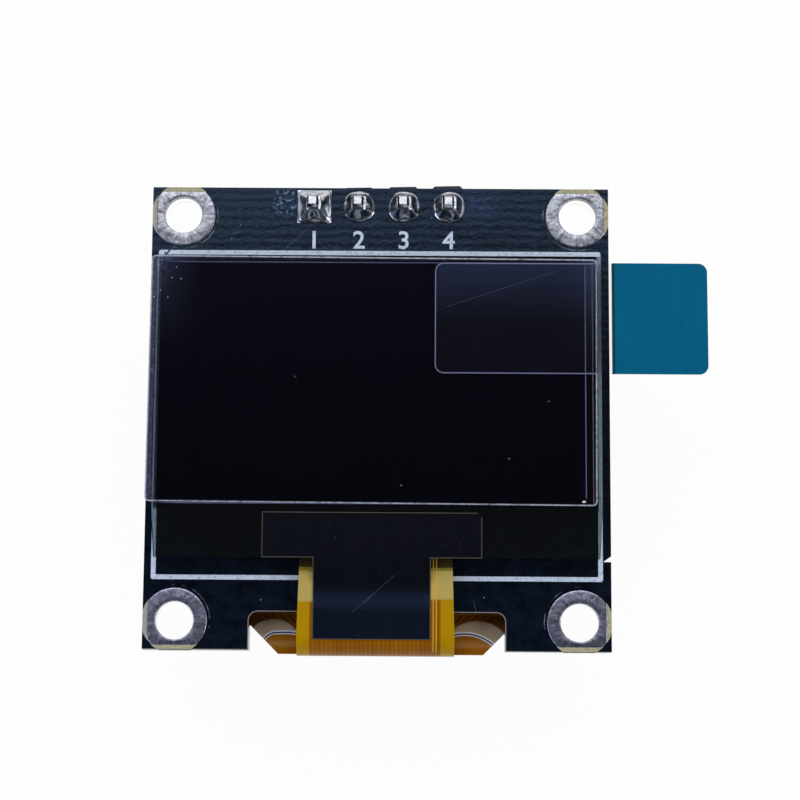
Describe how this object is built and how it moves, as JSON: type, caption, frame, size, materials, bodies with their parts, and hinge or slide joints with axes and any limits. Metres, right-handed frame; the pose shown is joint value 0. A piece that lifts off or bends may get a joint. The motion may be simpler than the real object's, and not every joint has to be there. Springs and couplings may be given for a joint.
{
  "type": "small oled display module",
  "caption": "Small OLED display module: a dark glass panel taped to a black board with plated corner holes, a pin header row and an amber flex folded through a notch to the back.",
  "frame": {"origin": "centre of the four mounting holes, in the plane of the board's front face", "axes": "+Z is the way the display faces, +Y points to the header edge of the board, +X to the side that the pull tab sticks out"},
  "size_m": [0.0311, 0.0268, 0.0115],
  "materials": {
    "board_mask": "black solder mask over glass-filled laminate",
    "print_ink": "white legend ink",
    "tin_plating": "hot-air levelled tin over copper",
    "solder": "bright soft solder",
    "pin_metal": "square brass wire with thin plating",
    "insulator": "moulded black nylon",
    "tape_foam": "double-sided foam tape",
    "panel_glass": "cut sheet glass",
    "seal_resin": "cured edge seal",
    "electrode_film": "thin metal and organic layers",
    "polariser_sheet": "dark polarising sheet",
    "silicon": "ground silicon",
    "polyimide": "amber polyimide sheet with copper tracks inside",
    "shield_film": "black adhesive film",
    "clear_film": "clear plastic film",
    "grip_ink": "teal plastic film",
    "moulding_resin": "black epoxy moulding",
    "leg_metal": "tinned lead frame",
    "capacitor_ceramic": "fired ceramic with tinned ends",
    "resistor_ceramic": "glazed ceramic with tinned ends"
  },
  "bodies": {
    "root": {"pcb": "board_mask", "printed_frame": "print_ink", "hole_plating_1": "tin_plating", "hole_plating_2": "tin_plating", "hole_plating_3": "tin_plating", "hole_plating_4": "tin_plating", "header_land_1": "tin_plating", "header_land_2": "tin_plating", "header_land_3": "tin_plating", "header_land_4": "tin_plating", "solder_joint_1": "solder", "solder_joint_2": "solder", "solder_joint_3": "solder", "solder_joint_4": "solder", "header_pin_1": "pin_metal", "header_pin_2": "pin_metal", "header_pin_3": "pin_metal", "header_pin_4": "pin_metal", "header_insulator": "insulator", "panel_tape": "tape_foam", "rear_glass": "panel_glass", "panel_seal": "seal_resin", "light_layers": "electrode_film", "front_glass": "panel_glass", "polariser": "polariser_sheet", "driver_chip": "silicon", "flex_cable": "polyimide", "light_shield": "shield_film", "protective_film": "clear_film", "pull_tab": "clear_film", "pull_tab_grip": "grip_ink", "back_lands": "tin_plating", "flex_solder": "solder", "part_solder": "solder", "regulator_body": "moulding_resin", "regulator_legs": "leg_metal", "diode_body": "moulding_resin", "diode_legs": "leg_metal", "capacitor_1": "capacitor_ceramic", "capacitor_2": "capacitor_ceramic", "capacitor_3": "capacitor_ceramic", "capacitor_4": "capacitor_ceramic", "capacitor_5": "capacitor_ceramic", "capacitor_6": "capacitor_ceramic", "capacitor_7": "capacitor_ceramic", "capacitor_8": "capacitor_ceramic", "resistor_1": "resistor_ceramic", "resistor_2": "resistor_ceramic", "resistor_3": "resistor_ceramic", "resistor_4": "resistor_ceramic", "resistor_5": "resistor_ceramic"}
  },
  "joints": []
}
